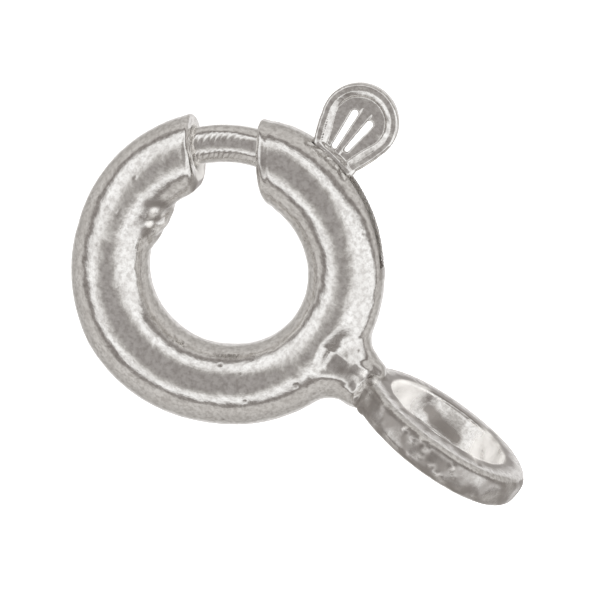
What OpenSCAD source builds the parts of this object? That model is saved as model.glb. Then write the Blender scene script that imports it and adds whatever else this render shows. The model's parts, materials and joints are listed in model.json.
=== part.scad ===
// Spring ring clasp for a fine necklace or bracelet chain, in millimetres, +Z up.
// A hollow ring with a mouth is closed by a curved bolt that a spring inside the tube
// pushes shut. An end ring for the chain is soldered across the ring on a short neck.
// The clasp lies as it does on a table: the far side of the ring and the lowest line of
// the end ring touch the plane Z = 0. The origin is below the middle of its outline.
// Directions on the ring are counted anticlockwise from the end ring, seen from above.

/* [Ring] */
// Outer diameter of the ring
ring_d = 6; // [5:0.1:8]
// Diameter of the tube that is bent into the ring
tube_d = 1.5; // [1.4:0.05:1.8]
// Wall thickness of the tube
tube_wall = 0.25; // [0.2:0.01:0.28]

/* [Mouth] */
// Direction of the middle of the mouth, in degrees
mouth_az = 123.4; // [115:0.1:128]
// Width of the mouth, measured along the middle of the tube
mouth_w = 1.19; // [0.8:0.01:1.3]
// Slant of the face that the bolt enters, in degrees from square
mouth_far_slant = -5; // [-12:1:12]
// Slant of the face that the bolt comes out of, in degrees from square
mouth_near_slant = 18; // [-5:1:20]

/* [Bolt] */
// Diameter of the bolt's wire
bolt_d = 0.7; // [0.6:0.01:0.78]
// Running clearance between the bolt and the outer side of the bore
bolt_gap = 0.025; // [0.02:0.005:0.05]
// How far the closed bolt reaches into the far end of the ring
bolt_reach = 0.27; // [0.15:0.01:0.35]
// Length of the bevel on the bolt's tip
tip_bevel = 0.12; // [0.06:0.01:0.16]
// How far the bolt turns to open the mouth, in degrees
bolt_travel = 35; // [20:1:38]
// How far the bolt goes on behind its trigger
bolt_tail = 0.34; // [0.1:0.01:0.5]

/* [Trigger] */
// Direction of the trigger's foot, in degrees
trigger_az = 82.0; // [76:0.1:84]
// Lean of the trigger towards the mouth, in degrees
trigger_lean = 7; // [0:1:12]
// Width of the trigger's neck where it passes the slot
trigger_neck_w = 0.94; // [0.6:0.01:1]
// Thickness of the trigger's neck
trigger_neck_t = 0.38; // [0.25:0.01:0.45]
// Height of the middle of the trigger's head above the ring's outer edge
trigger_rise = 0.8; // [0.7:0.01:1.2]
// Diameter of the trigger's head
trigger_head_d = 1.46; // [1.2:0.01:1.5]
// Thickness of the trigger's round rim
trigger_rim_d = 0.3; // [0.2:0.01:0.34]
// Thickness of the web inside the rim
trigger_web_t = 0.14; // [0.08:0.01:0.18]
// Width of the rib at its foot
rib_foot_w = 0.08; // [0.05:0.01:0.12]
// Width of the rib at its head
rib_head_w = 0.2; // [0.12:0.01:0.24]
// Width of each window beside the rib
window_w = 0.14; // [0.08:0.01:0.16]
// Length of each window
window_l = 0.74; // [0.4:0.01:0.8]
// Height of the foot of the windows above the ring's outer edge
window_foot = 0.13; // [0.12:0.01:0.3]
// How much higher the window away from the mouth begins
window_stagger = 0.1; // [0:0.01:0.12]

/* [Slot] */
// Clearance between the trigger's neck and each side of the slot
slot_side_gap = 0.04; // [0.02:0.005:0.06]
// Clearance between the trigger's neck and each end of the slot
slot_end_gap = 0.04; // [0.02:0.005:0.1]

/* [End ring] */
// Diameter of the hole that the chain's link goes through
eye_bore_d = 2.4; // [2:0.05:3]
// Thickness of the end ring between its hole and its rim
eye_wall = 0.62; // [0.35:0.01:0.7]
// Width of the end ring along its axis
eye_w = 0.57; // [0.4:0.01:0.7]
// Rounding of the end ring's edges
eye_edge = 0.08; // [0.04:0.01:0.12]
// Distance between the ring's outer edge and the end ring
eye_gap = 0.23; // [0.15:0.01:0.4]
// How far the end ring stands to one side of the ring's centre
eye_offset = 0.2; // [0:0.005:0.4]

/* [Neck] */
// Diameter of the neck at its waist
neck_d = 1.12; // [0.8:0.01:1.18]
// Diameter of the neck where it spreads on to the tube
neck_root_d = 1.36; // [1.2:0.01:1.36]
// Radius of the solder fillet between the tube and the neck
neck_fillet = 0.35; // [0.3:0.01:0.5]
// Diameter of the neck halfway through the end ring's wall
neck_shoulder_d = 0.94; // [0.6:0.01:1]
// Diameter of the neck where it ends inside the end ring's wall
neck_tip_d = 0.46; // [0.3:0.01:0.48]

/* [Spring stop] */
// Direction of the middle of the solder lump that holds the spring, in degrees
lump_az = 183.6; // [178:0.1:190]
// Length of the lump along the ring
lump_l = 0.8; // [0.7:0.01:1]
// Diameter of the lump's larger bead
lump_d = 0.56; // [0.5:0.01:0.6]
// How far the lump stands into the middle of the ring
lump_rise = 0.105; // [0.05:0.005:0.15]
// Depth of the flat between the mouth and the lump, on the inside of the ring
flat_depth = 0.07; // [0.03:0.005:0.1]

/* [Return spring] */
// Diameter of the spring's wire
spring_wire_d = 0.12; // [0.08:0.01:0.14]
// Clearance between the spring and the bore
spring_gap = 0.06; // [0.03:0.01:0.1]
// Distance from one turn of the spring to the next
spring_pitch = 0.34; // [0.28:0.01:0.5]
// Clearance between the spring and what it bears on
spring_end_gap = 0.02; // [0.01:0.005:0.04]

/* [Hidden] */
$fn = 72;

// Shares of a turn and of a wire's girth that the faceted spring is drawn with
turn_steps = 9;
wire_sides = 6;
// Length by which cutters run past what they cut
over = 0.3;
// Length by which a fused part reaches into its neighbour
seat = 0.02;

ring_out_r = ring_d / 2;
tube_r = tube_d / 2;
ring_r = ring_out_r - tube_r;
bore_r = tube_r - tube_wall;
bolt_r = bolt_d / 2;
bolt_path_r = ring_r + bore_r - bolt_gap - bolt_r;

// Angle in degrees of an arc of the given length and radius
function arc_az(length, radius) = length / radius * 180 / PI;

mouth_far_az = mouth_az + arc_az(mouth_w / 2, ring_r);
mouth_near_az = mouth_az - arc_az(mouth_w / 2, ring_r);

trigger_half_az = arc_az(trigger_neck_w / 2, ring_out_r);
tip_az = mouth_far_az + arc_az(bolt_reach, bolt_path_r);
bevel_az = tip_az - arc_az(tip_bevel, bolt_path_r);
tail_az = trigger_az - trigger_half_az - arc_az(bolt_tail, bolt_path_r);

slot_w = trigger_neck_t + 2 * slot_side_gap;
slot_high_az = trigger_az + trigger_half_az + arc_az(slot_end_gap, ring_out_r);
slot_low_az = trigger_az - trigger_half_az - bolt_travel - arc_az(slot_end_gap, ring_out_r);

eye_bore_r = eye_bore_d / 2;
eye_out_r = eye_bore_r + eye_wall;
eye_x = ring_out_r + eye_gap + eye_out_r;

// The clasp tips until its ring and its end ring both touch the table
tip_angle = asin((eye_out_r - tube_r) / (eye_x + ring_r));
ring_lift = tube_r + ring_r * sin(tip_angle);
outline_x_min = -ring_r * cos(tip_angle) - tube_r;
outline_x_max = eye_x * cos(tip_angle) + eye_out_r;
trigger_top_y = eye_offset + ring_out_r * sin(trigger_az)
    + trigger_rise * sin(trigger_az + trigger_lean) + trigger_head_d / 2;
outline_y_min = eye_offset - ring_out_r;
middle_x = (outline_x_min + outline_x_max) / 2;
middle_y = (outline_y_min + trigger_top_y) / 2;

// Puts what is drawn flat, with the end ring along +X, into its resting place
module lay() {
    translate([-middle_x, -middle_y, ring_lift]) rotate([0, -tip_angle, 0]) children();
}

// Puts what is drawn round the ring's own centre beside the end ring's plane
module at_ring() {
    translate([0, eye_offset, 0]) children();
}

// A stretch of bent round bar
module bent_bar(path_r, bar_r, from_az, to_az) {
    rotate_extrude(angle = to_az - from_az, start = from_az) translate([path_r, 0]) circle(bar_r);
}

// A block that removes everything from one slanted mouth face to the middle of the mouth
module mouth_half(face_az, slant, side) {
    reach = tube_d + 2 * over;
    rotate(face_az) translate([ring_r, 0, 0]) rotate(slant)
        translate([-reach / 2, side > 0 ? 0 : -mouth_w, -reach / 2]) cube([reach, mouth_w, reach]);
}

module mouth_cutter() {
    union() {
        mouth_half(mouth_near_az, mouth_near_slant, 1);
        mouth_half(mouth_far_az, mouth_far_slant, -1);
    }
}

// The slot that the trigger's neck slides in
module slot_cutter() {
    rotate_extrude(angle = slot_high_az - slot_low_az, start = slot_low_az)
        translate([ring_r + bolt_r, -slot_w / 2]) square([tube_r, slot_w]);
}

// The flat on the inside of the ring, from the mouth to the lump
module flat_cutter() {
    inner_r = ring_r - tube_r;
    rotate_extrude(angle = lump_az - mouth_az, start = mouth_az)
        translate([inner_r - over, -tube_r]) square([over + flat_depth, tube_d]);
}

// Two solder beads through the inner wall, which hold the far end of the spring
module spring_stop() {
    bead_r = lump_d / 2;
    small_r = bead_r * 0.85;
    bead_path_r = ring_r - tube_r - lump_rise + bead_r;
    bead_az = arc_az(lump_l / 2 - bead_r, ring_r - tube_r);
    rotate(lump_az + bead_az) translate([bead_path_r, 0, 0.04]) sphere(bead_r);
    rotate(lump_az - bead_az) translate([bead_path_r - bead_r + small_r + 0.02, 0, -0.05]) sphere(small_r);
}

// The solder neck, which spreads on to the tube and runs out inside the end ring's wall
module neck() {
    root_x = ring_r + bore_r - tube_wall;
    waist_x = ring_out_r + eye_gap;
    tip_x = waist_x + eye_wall - seat;
    shoulder_x = (waist_x + tip_x) / 2;
    rotate([0, 90, 0]) rotate_extrude() {
        difference() {
            translate([0, root_x]) square([neck_root_d / 2, waist_x - root_x]);
            translate([neck_d / 2 + neck_fillet, waist_x]) circle(neck_fillet);
        }
        polygon([[0, waist_x], [neck_d / 2, waist_x], [neck_shoulder_d / 2, shoulder_x],
                 [neck_tip_d / 2, tip_x], [0, tip_x]]);
    }
}

// Cross-section of the end ring, with its edges rounded
module eye_section() {
    translate([eye_bore_r, -eye_w / 2]) {
        translate([eye_edge, 0]) square([eye_wall - 2 * eye_edge, eye_w]);
        translate([0, eye_edge]) square([eye_wall, eye_w - 2 * eye_edge]);
        for (x = [eye_edge, eye_wall - eye_edge], y = [eye_edge, eye_w - eye_edge])
            translate([x, y]) circle(eye_edge);
    }
}

module end_ring() {
    translate([eye_x, 0, 0]) rotate([90, 0, 0]) rotate_extrude() eye_section();
}

// Hollow ring, spring stop, neck and end ring are soldered into one piece
module clasp_ring() {
    color("silver") lay() union() {
        difference() {
            union() {
                at_ring() rotate_extrude() translate([ring_r, 0]) circle(tube_r);
                neck();
            }
            at_ring() rotate_extrude() translate([ring_r, 0]) circle(bore_r);
            at_ring() mouth_cutter();
            at_ring() slot_cutter();
            at_ring() flat_cutter();
        }
        at_ring() spring_stop();
        end_ring();
    }
}

// Trigger head: a round wire rim, a thin web with two windows, and a rib between them
module trigger_head() {
    rim_r = trigger_rim_d / 2;
    loop_r = trigger_head_d / 2 - rim_r;
    foot_y = trigger_neck_w / 2 - rim_r - 0.01;
    foot_reach = norm([trigger_rise, foot_y]);
    leg_l = sqrt(foot_reach * foot_reach - loop_r * loop_r);
    touch_az = 180 - atan2(foot_y, trigger_rise) - acos(loop_r / foot_reach);
    touch = [trigger_rise + loop_r * cos(touch_az), loop_r * sin(touch_az)];
    translate([trigger_rise, 0, 0]) bent_bar(loop_r, rim_r, -touch_az, touch_az);
    for (side = [1, -1])
        translate([0, side * foot_y, 0]) rotate(side * (touch_az - 90)) rotate([0, 90, 0])
            cylinder(h = leg_l, r = rim_r);
    linear_extrude(trigger_web_t, center = true) difference() {
        union() {
            translate([trigger_rise, 0]) circle(loop_r);
            polygon([[0, -foot_y], [touch[0], -touch[1]], touch, [0, foot_y]]);
        }
        window(window_foot, 1);
        window(window_foot + window_stagger, -1);
    }
    rotate([0, 90, 0]) cylinder(h = window_foot + window_l + rib_head_w, r1 = rib_foot_w / 2, r2 = rib_head_w / 2);
}

// Outline of one window in the trigger's web, along one side of the rib
module window(foot, side) {
    top = window_foot + window_l;
    foot_y = side * (rib_foot_w + window_w) / 2;
    top_y = side * (rib_head_w + window_w) / 2;
    run = [top - foot, top_y - foot_y];
    translate([foot, foot_y]) rotate(atan2(run[1], run[0])) {
        translate([0, -window_w / 2]) square([norm(run), window_w]);
        circle(window_w / 2);
        translate([norm(run), 0]) circle(window_w / 2);
    }
}

// Curved bolt with a bevelled tip, and the trigger that is soldered to it
module bolt() {
    color("gainsboro") lay() at_ring() union() {
        bent_bar(bolt_path_r, bolt_r, tail_az, bevel_az);
        rotate(bevel_az) translate([bolt_path_r, -seat, 0]) rotate([-90, 0, 0])
            cylinder(h = tip_bevel + seat, r1 = bolt_r - seat / 2, r2 = bolt_r * 0.7);
        rotate_extrude(angle = 2 * trigger_half_az, start = trigger_az - trigger_half_az)
            translate([bolt_path_r, -trigger_neck_t / 2])
                square([ring_out_r + 0.08 - bolt_path_r, trigger_neck_t]);
        rotate(trigger_az) translate([ring_out_r, 0, 0]) rotate(trigger_lean) trigger_head();
    }
}

// The spring's coil runs inside the tube from the bolt's tail to the spring stop
coil_r = bore_r - spring_gap - spring_wire_d / 2;
coil_high_az = tail_az - arc_az(spring_end_gap + spring_wire_d / 2, ring_r);
stop_half_az = arc_az(lump_l / 2 + spring_end_gap + spring_wire_d / 2, ring_r - tube_r);
coil_low_az = lump_az + stop_half_az - 360;
turns = floor((coil_high_az - coil_low_az) / arc_az(spring_pitch, ring_r));
coil_count = turns * turn_steps;

// Point on the spring's centre line, for a share from 0 to 1 of its length
function coil_point(share) =
    let (az = coil_low_az + share * (coil_high_az - coil_low_az), turn = share * turns * 360,
         out = ring_r + coil_r * cos(turn))
    [out * cos(az), out * sin(az), coil_r * sin(turn)];

// Direction that points away from the middle of the coil at the same place
function coil_normal(share) =
    let (az = coil_low_az + share * (coil_high_az - coil_low_az), turn = share * turns * 360)
    [cos(turn) * cos(az), cos(turn) * sin(az), sin(turn)];

// One ring of points round the wire
function wire_ring(share) =
    let (step = 1 / coil_count / 8, along = coil_point(share + step) - coil_point(share - step),
         out = coil_normal(share), side = cross(along, out) / norm(cross(along, out)))
    [for (k = [0 : wire_sides - 1])
        coil_point(share) + spring_wire_d / 2 * (cos(k * 360 / wire_sides) * out + sin(k * 360 / wire_sides) * side)];

module return_spring() {
    points = [for (i = [0 : coil_count]) each wire_ring(i / coil_count)];
    walls = [for (i = [0 : coil_count - 1], k = [0 : wire_sides - 1])
        let (a = i * wire_sides, b = a + wire_sides, next = (k + 1) % wire_sides)
        each [[a + k, b + k, b + next], [a + k, b + next, a + next]]];
    first = [for (k = [0 : wire_sides - 1]) k];
    last = [for (k = [wire_sides - 1 : -1 : 0]) coil_count * wire_sides + k];
    color("lightgrey") lay() at_ring() polyhedron(points, concat(walls, [first, last]));
}

clasp_ring();
bolt();
return_spring();
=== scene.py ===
"""Silver spring ring clasp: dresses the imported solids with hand-finished metal.

The ring with its soldered end ring, and the bolt with its trigger, are drawn as distance
fields that follow the solids' own sizes, turned into meshes, and given the rounded lips,
solder fillets, file marks and pits of a worn clasp. The return spring is a Geometry Nodes
coil. Lengths in the properties are metres; the distance fields work in millimetres.
"""

import json
import math
from math import cos, pi, radians, sin

import bmesh
import bpy
import numpy as np
from bpy.props import FloatProperty, IntProperty, PointerProperty, StringProperty
from bpy.types import Operator, Panel, PropertyGroup
from mathutils import Matrix, Vector


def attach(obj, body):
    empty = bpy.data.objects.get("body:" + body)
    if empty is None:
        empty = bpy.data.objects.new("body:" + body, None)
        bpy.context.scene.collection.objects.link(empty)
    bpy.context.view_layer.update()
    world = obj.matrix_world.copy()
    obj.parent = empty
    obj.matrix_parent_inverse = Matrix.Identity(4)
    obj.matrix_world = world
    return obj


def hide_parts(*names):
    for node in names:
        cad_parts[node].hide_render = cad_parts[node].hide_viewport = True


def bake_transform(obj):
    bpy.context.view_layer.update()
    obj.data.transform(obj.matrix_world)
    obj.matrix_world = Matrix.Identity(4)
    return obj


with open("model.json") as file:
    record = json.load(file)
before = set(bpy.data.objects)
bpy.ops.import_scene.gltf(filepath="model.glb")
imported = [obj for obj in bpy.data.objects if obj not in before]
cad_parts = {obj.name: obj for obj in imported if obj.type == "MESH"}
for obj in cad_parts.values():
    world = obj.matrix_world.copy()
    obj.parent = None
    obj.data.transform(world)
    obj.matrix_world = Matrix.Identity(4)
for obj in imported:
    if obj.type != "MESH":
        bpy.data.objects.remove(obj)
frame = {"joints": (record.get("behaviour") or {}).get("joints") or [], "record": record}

bl_info = {
    "name": "Spring Ring Clasp",
    "version": (1, 0, 0),
    "blender": (4, 5, 0),
    "location": "3D Viewport > Sidebar > Clasp",
    "description": "Builds the metal pieces of a spring ring clasp around its solids",
    "category": "Add Mesh",
}

MM = 0.001
RING_TRIANGLES = 190_000
PICTURE_PX, RING_PX = 600, (227.7, 268.3)
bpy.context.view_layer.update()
MOUNTS = {mount["name"]: mount for mount in frame["record"]["mounts"]}
OPENING, CHAIN_HOLE = MOUNTS["ring_opening"], MOUNTS["end_ring_hole"]
RING_CENTRE = Vector(OPENING["pos_m"])
HOLE_CENTRE = Vector(CHAIN_HOLE["pos_m"])
TIP_ANGLE = math.asin(-OPENING["axis"][0])
TUBE_D = OPENING["dims"]["length_mm"]
RING_R = OPENING["dims"]["r_mm"] + TUBE_D / 2
CHAIN_HOLE_R = CHAIN_HOLE["dims"]["r_mm"]


def length(name, description, millimetres):
    """A length property, given in millimetres and kept in metres."""
    return FloatProperty(name=name, description=description, default=millimetres * MM,
            unit="LENGTH", precision=6)


def angle(name, description, degrees):
    """An angle property, given in degrees and kept in radians."""
    return FloatProperty(name=name, description=description, default=radians(degrees),
            subtype="ANGLE", unit="ROTATION")


def share(name, description, value, top):
    """A factor property from 0 to a top value."""
    return FloatProperty(name=name, description=description, default=value, min=0.0, max=top,
            subtype="FACTOR")


def colour(name, description, value):
    """A colour property, kept as sRGB hex."""
    return StringProperty(name=name, description=description + ", as sRGB hex", default=value)


class ClaspRingSizes(PropertyGroup):
    """Sizes of the hollow ring, its mouth, its solder and the end ring."""
    tube_d: length("Tube diameter", "Diameter of the bent tube", TUBE_D)
    tube_wall: length("Tube wall", "Wall thickness of the tube", 0.25)
    ring_r: length("Bend radius", "Radius of the tube's middle line", RING_R)
    mouth_az: angle("Mouth direction", "Direction of the mouth from the end ring", 123.4)
    mouth_w: length("Mouth width", "Width of the mouth along the tube", 1.19)
    far_slant: angle("Far face slant", "Slant of the face that the bolt enters", -5)
    near_slant: angle("Near face slant", "Slant of the face that the bolt comes out of", 18)
    far_back: length("Far lip set back", "How far the lip that the bolt enters is filed back", 0.05)
    far_edge: length("Far lip rounding", "Rounding of the lip that the bolt enters", 0.13)
    near_edge: length("Near lip rounding", "Rounding of the bolt's own lip", 0.15)
    lip_gap: length("Closed lip clearance", "Clearance where the far lip is closed in", 0.035)
    near_groove: length("Near lip groove", "Depth of the groove behind the near lip", 0.009)
    slot_edge: length("Slot rounding", "Rounding of the slot's edges", 0.02)
    lump_az: angle("Spring stop direction", "Direction of the solder lump", 183.6)
    flat_depth: length("Flat depth", "Depth of the pressed flat beside the mouth", 0.07)
    eye_wall: length("End ring wall", "Thickness of the end ring from hole to rim", 0.62)
    eye_oval: length("Hole length", "Wear at each end of the end ring's hole", 0.055)
    eye_turn: angle("End ring turn", "Turn of the end ring out of line", 0.45)
    eye_w: length("End ring width", "Width of the end ring along its axis", 0.6)
    eye_edge: length("End ring edge", "Rounding of the end ring's edges", 0.17)
    eye_crown: length("End ring crown", "Height of the end ring's domed rim", 0.05)
    eye_hollow: length("End ring hollow", "Depth of the hollow in the hole's wall", 0.015)
    neck_d: length("Neck diameter", "Diameter of the solder neck at its waist", 1.12)
    neck_fillet: length("Neck fillet", "Radius of the solder fillet on the tube", 0.3)


class ClaspBoltSizes(PropertyGroup):
    """Sizes of the curved bolt and the trigger soldered to it."""
    bolt_d: length("Bolt diameter", "Diameter of the bolt's wire", 0.7)
    bolt_gap: length("Bolt clearance", "Running clearance on the outer side of the bore", 0.025)
    bolt_reach: length("Bolt reach", "How far the bolt goes into the far end of the ring", 0.27)
    bolt_tail: length("Bolt tail", "How far the bolt goes on behind its trigger", 0.34)
    tip_bevel: length("Tip rounding", "Rounding of the bolt's tip", 0.12)
    file_pitch: length("File mark spacing", "Distance between the file marks across the bolt", 0.105)
    file_depth: length("File mark depth", "Depth of the file marks across the bolt", 0.002)
    trigger_az: angle("Trigger direction", "Direction of the trigger's foot", 82)
    trigger_lean: angle("Trigger lean", "Lean of the trigger towards the mouth", 7)
    stem_w: length("Stem width", "Width of the trigger in the slot", 0.94)
    stem_t: length("Stem thickness", "Thickness of the trigger in the slot", 0.38)
    rise: length("Trigger rise", "Height of the middle of the head above the ring", 0.8)
    head_d: length("Head diameter", "Diameter of the trigger's head", 1.46)
    head_shift: length("Head shift", "Shift of the head towards the mouth", 0.02)
    rim_d: length("Rim thickness", "Thickness of the round rim", 0.3)
    web_t: length("Web thickness", "Thickness of the web inside the rim", 0.14)
    rib_foot_w: length("Rib foot", "Width of the rib at its foot", 0.08)
    rib_head_w: length("Rib head", "Width of the rib at its head", 0.2)
    window_w: length("Window width", "Width of each window beside the rib", 0.14)
    window_l: length("Window length", "Length of each window", 0.74)
    window_foot: length("Window foot", "Height of the windows above the ring", 0.13)
    window_stagger: length("Window stagger", "How much higher one window begins", 0.1)


class ClaspSpringSizes(PropertyGroup):
    """Sizes of the return spring inside the tube."""
    wire_d: length("Wire diameter", "Diameter of the spring's wire", 0.12)
    coil_gap: length("Coil clearance", "Clearance between the coil and the bore", 0.06)
    low_az: angle("Fixed end", "Direction of the end at the spring stop", -162.8)
    high_az: angle("Moving end", "Direction of the end that the bolt pushes", 57.0)
    turns: IntProperty(name="Turns", description="Number of turns of the coil", default=25, min=3)
    turn_steps: IntProperty(name="Steps", description="Points on the wire for each turn", default=28, min=8)
    wire_sides: IntProperty(name="Sides", description="Faces round the wire", default=10, min=5)


class ClaspFinish(PropertyGroup):
    """Colours and hand finish of the metals."""
    silver: colour("Silver", "Polished sterling silver", "#FBFAF8")
    silver_warm: colour("Thin tarnish", "Silver under a thin warm tarnish", "#EAE8E5")
    wear: colour("Wear", "Silver where fine wear has dulled it", "#D2CFCC")
    # The tarnish colour also paints shade: by the slot under the trigger, on the inner side of the mouth's
    # lips, on the end ring's flank beside its hole, and as a dark painted reflection along the bottom of that
    # hole.
    tarnish: colour("Tarnish", "Grey tarnish in pits and corners", "#ACA7A3")
    # This matte white is painted light: painted highlights on solder spots and blisters, painted reflections
    # at the ends of the end ring's hole, and painted light inside the tube's bore.
    bloom: colour("Bloom", "White skin of fine silver where no mop has reached", "#F4F2EF")
    spring_steel: colour("Spring steel", "Drawn spring wire", "#B9B6B2")
    wave_height: length("Hand finish waves", "Height of the long waves left by hand polishing", 0.006)
    solder_height: length("Solder lumps", "Height of the small lumps left on the solder", 0.007)
    ripple_height: length("Fine ripples", "Height of the short ripples left by hand polishing", 0.0016)
    pit_count: IntProperty(name="Pits", description="Number of small scattered pits", default=40, min=0)
    seed: IntProperty(name="Seed", description="Seed for waves and pits", default=7, min=0)


class ClaspStage(PropertyGroup):
    """Camera, floor and light."""
    lean: angle("Camera lean", "Angle between the line of sight and the ring's own axis", 15.16)
    lean_az: angle("Lean direction", "Direction on the ring that the camera leans to", 85.9)
    picture_turn: angle("Picture turn", "Angle in the picture of the direction to the end ring", -36.3)
    frame_w: length("Frame width", "Width of the picture at the ring", 11.282)
    lens: FloatProperty(name="Lens", description="Focal length of the camera", default=200.0,
            subtype="DISTANCE_CAMERA")
    floor: colour("Floor", "Matte white acrylic floor", "#F6F5F3")
    floor_glow: share("Floor glow", "Light that comes through the floor from below", 0.7, 2.0)
    strength: share("Surround strength", "Brightness of the light tent around the clasp", 1.04, 4.0)


# ---------------------------------------------------------------- distance fields


def carve(a, b, radius):
    """What lies in both fields, with the edge between them rounded."""
    corner = np.hypot(np.maximum(radius + a, 0), np.maximum(radius + b, 0))
    return np.minimum(-radius, np.maximum(a, b)) + corner


def join(a, b, radius):
    """What lies in either field, with a fillet between them."""
    return -carve(-a, -b, radius)


def turned(x, y, degrees):
    """Coordinates along and across a direction given in degrees."""
    c, s = cos(radians(degrees)), sin(radians(degrees))
    return c * x + s * y, c * y - s * x


def heading(degrees, reach=1.0):
    """The place a given distance from the middle, in a direction given in degrees."""
    return reach * cos(radians(degrees)), reach * sin(radians(degrees))


def arc_deg(distance, radius):
    return math.degrees(distance / radius)


def around(x, y):
    return np.degrees(np.arctan2(y, x)) % 360


def apart(az, bearing):
    """Degrees between directions."""
    return np.abs((az - bearing + 180) % 360 - 180)


def smooth(t):
    """From 0 to 1 with soft ends."""
    t = np.clip(t, 0, 1)
    return t * t * (3 - 2 * t)


def bell(points, middle, radius):
    """1 at a place, fading to 0 around it."""
    return np.exp(-((points - middle) ** 2).sum(1) / radius ** 2)


class Sizes:
    """A property group's values in millimetres and degrees."""

    def __init__(self, group):
        for key, prop in group.bl_rna.properties.items():
            if prop.type not in {"FLOAT", "INT"}:
                continue
            value = getattr(group, key)
            if prop.unit == "LENGTH":
                value = value / MM
            elif prop.unit == "ROTATION":
                value = math.degrees(value)
            setattr(self, key, value)


def all_sizes():
    """The sizes of ring and bolt with what follows from them."""
    ring, bolt = Sizes(bpy.context.scene.clasp_ring), Sizes(bpy.context.scene.clasp_bolt)
    ring.tube_r = ring.tube_d / 2
    ring.bore_r = ring.tube_r - ring.tube_wall
    ring.out_r = ring.ring_r + ring.tube_r
    ring.far_az = ring.mouth_az + arc_deg(ring.mouth_w / 2, ring.ring_r)
    ring.near_az = ring.mouth_az - arc_deg(ring.mouth_w / 2, ring.ring_r)
    offset = HOLE_CENTRE - RING_CENTRE
    ring.eye_x = math.hypot(offset.x, offset.z) / MM
    ring.eye_y = offset.y / MM
    ring.eye_r = CHAIN_HOLE_R
    ring.eye_out_r = CHAIN_HOLE_R + ring.eye_wall
    bolt.bolt_r = bolt.bolt_d / 2
    bolt.path_r = ring.ring_r + ring.bore_r - bolt.bolt_gap - bolt.bolt_r
    bolt.out_r, bolt.mouth_az = ring.out_r, ring.mouth_az
    bolt.stem_half = arc_deg(bolt.stem_w / 2, ring.out_r)
    bolt.tip_az = ring.far_az + arc_deg(bolt.bolt_reach, bolt.path_r)
    bolt.tail_az = bolt.trigger_az - bolt.stem_half - arc_deg(bolt.bolt_tail, bolt.path_r)
    travel = frame["joints"][0]["range_deg"][1]
    slot_gap = 0.03
    ring.slot_half_w = bolt.stem_t / 2 + slot_gap
    ring.slot_in_r = ring.ring_r + bolt.bolt_r
    high = bolt.trigger_az + bolt.stem_half + arc_deg(slot_gap, ring.out_r)
    low = bolt.trigger_az - bolt.stem_half - travel - arc_deg(slot_gap, ring.out_r)
    ring.slot_az, ring.slot_half_az = (high + low) / 2, (high - low) / 2
    ring.bolt_path_r, ring.bolt_r = bolt.path_r, bolt.bolt_r
    return ring, bolt


def mouth_field(x, y, s):
    """Distances to the mouth's near and far faces and to its back: all are negative inside it."""
    faces = []
    for az, slant, side in ((s.near_az, s.near_slant, 1), (s.far_az, s.far_slant, -1)):
        cx, cy = heading(az, s.ring_r)
        faces.append(-side * turned(x - cx, y - cy, az + slant)[1])
    ahead, _ = turned(x, y, s.mouth_az)
    return faces[0], faces[1] - s.far_back, -ahead


def neck_field(x, y, z, s):
    """The solder neck: a round bar on the line to the end ring, which narrows inside its wall."""
    waist, root, end = s.eye_x - s.eye_out_r, 0.6, 0.5
    radius = np.interp(x, [waist - root, waist - 0.02, waist + 0.26, waist + end],
            [s.neck_d / 2 + 0.02, s.neck_d / 2, s.neck_d * 0.42, 0.23])
    bar = (np.hypot(y - s.eye_y, z) - radius) * 0.94
    return carve(carve(bar, x - (waist + end), 0.1), waist - root - x, 0.02)


def eye_field(x, y, z, s):
    """The end ring: a domed strip, crowned outside and hollowed inside, with rounded edges."""
    y = y - math.tan(radians(s.eye_turn)) * (x - s.eye_x + s.eye_out_r)
    rim_swell, wall_taper, widening = 0.02, 0.035, 0.05
    radial = np.hypot(x - s.eye_x, z) - s.eye_r
    length_share = (x - s.eye_x) ** 2 / ((x - s.eye_x) ** 2 + z ** 2 + 0.01)
    bore = radial + s.eye_oval * (1 - 2 * length_share)
    side = np.minimum(np.abs(y - s.eye_y) / (s.eye_w / 2), 1)
    inner = s.eye_hollow * (1 - side ** 2) - bore
    outer = radial - s.eye_wall - rim_swell * np.clip((x - s.eye_x) / s.eye_out_r, 0, 1)
    half_w = s.eye_w / 2 * (1 + widening * (x - s.eye_x))
    flank = np.abs(y - s.eye_y) - half_w - wall_taper * np.clip(1 - radial / s.eye_wall, 0, 1)
    return carve(carve(outer + s.eye_crown * side ** 2, flank, s.eye_edge), inner, 0.06)


# Solder beads where the end ring meets the neck: x, y, z and radius in millimetres.
SOLDER_BEADS = (
    (3.17, 0.2, 0.38, 0.17), (3.38, 0.08, 0.46, 0.14), (3.22, -0.12, 0.42, 0.13), (3.44, 0.24, 0.5, 0.1),
    (3.36, -0.22, 0.3, 0.2), (3.34, 0.3, 0.1, 0.17), (3.3, 0.27, -0.18, 0.13), (3.42, -0.26, 0.05, 0.18),
    (3.36, -0.33, 0.12, 0.17), (3.46, -0.17, 0.62, 0.17), (3.6, -0.17, 0.88, 0.13))
# Larger pits in the ring: direction from the end ring, lean from the ring's axis, and radius.
PLACED_PITS = (
    (167, 12, 0.035), (186, 18, 0.05), (189, 17, 0.035), (196, 13, 0.035), (203, 12, 0.035),
    (186, -2, 0.04), (316, 13, 0.03), (340, 19, 0.042), (288, -3, 0.03), (53, 47, 0.03))
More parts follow.
